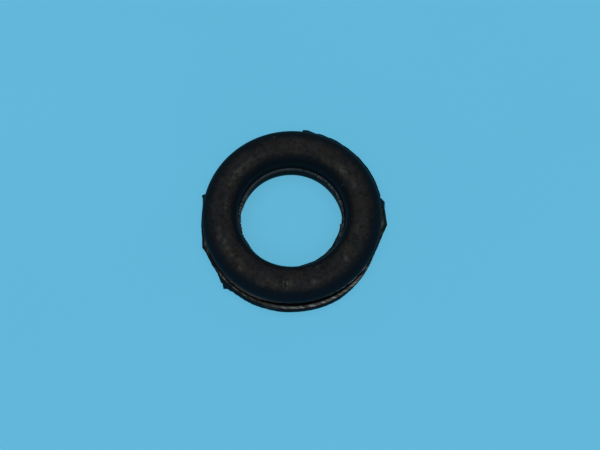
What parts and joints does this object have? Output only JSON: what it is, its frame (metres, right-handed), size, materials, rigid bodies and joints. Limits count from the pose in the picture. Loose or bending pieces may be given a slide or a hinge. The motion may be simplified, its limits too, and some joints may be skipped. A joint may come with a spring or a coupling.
{
  "type": "rubber bushing",
  "caption": "Black rubber bushing with a wide bore, half-round flanges above and below, a panel groove between them and ragged moulding flash on the rim.",
  "frame": {"origin": "on the bore's axis, midway between the two faces of the panel groove", "axes": "+Z along the bore, out through the crown that faces the camera in the picture; +X to the right in the picture"},
  "size_m": [0.0302, 0.0299, 0.0094],
  "materials": {
    "rubber": "matte"
  },
  "bodies": {
    "root": {"bushing": "rubber"}
  },
  "joints": []
}
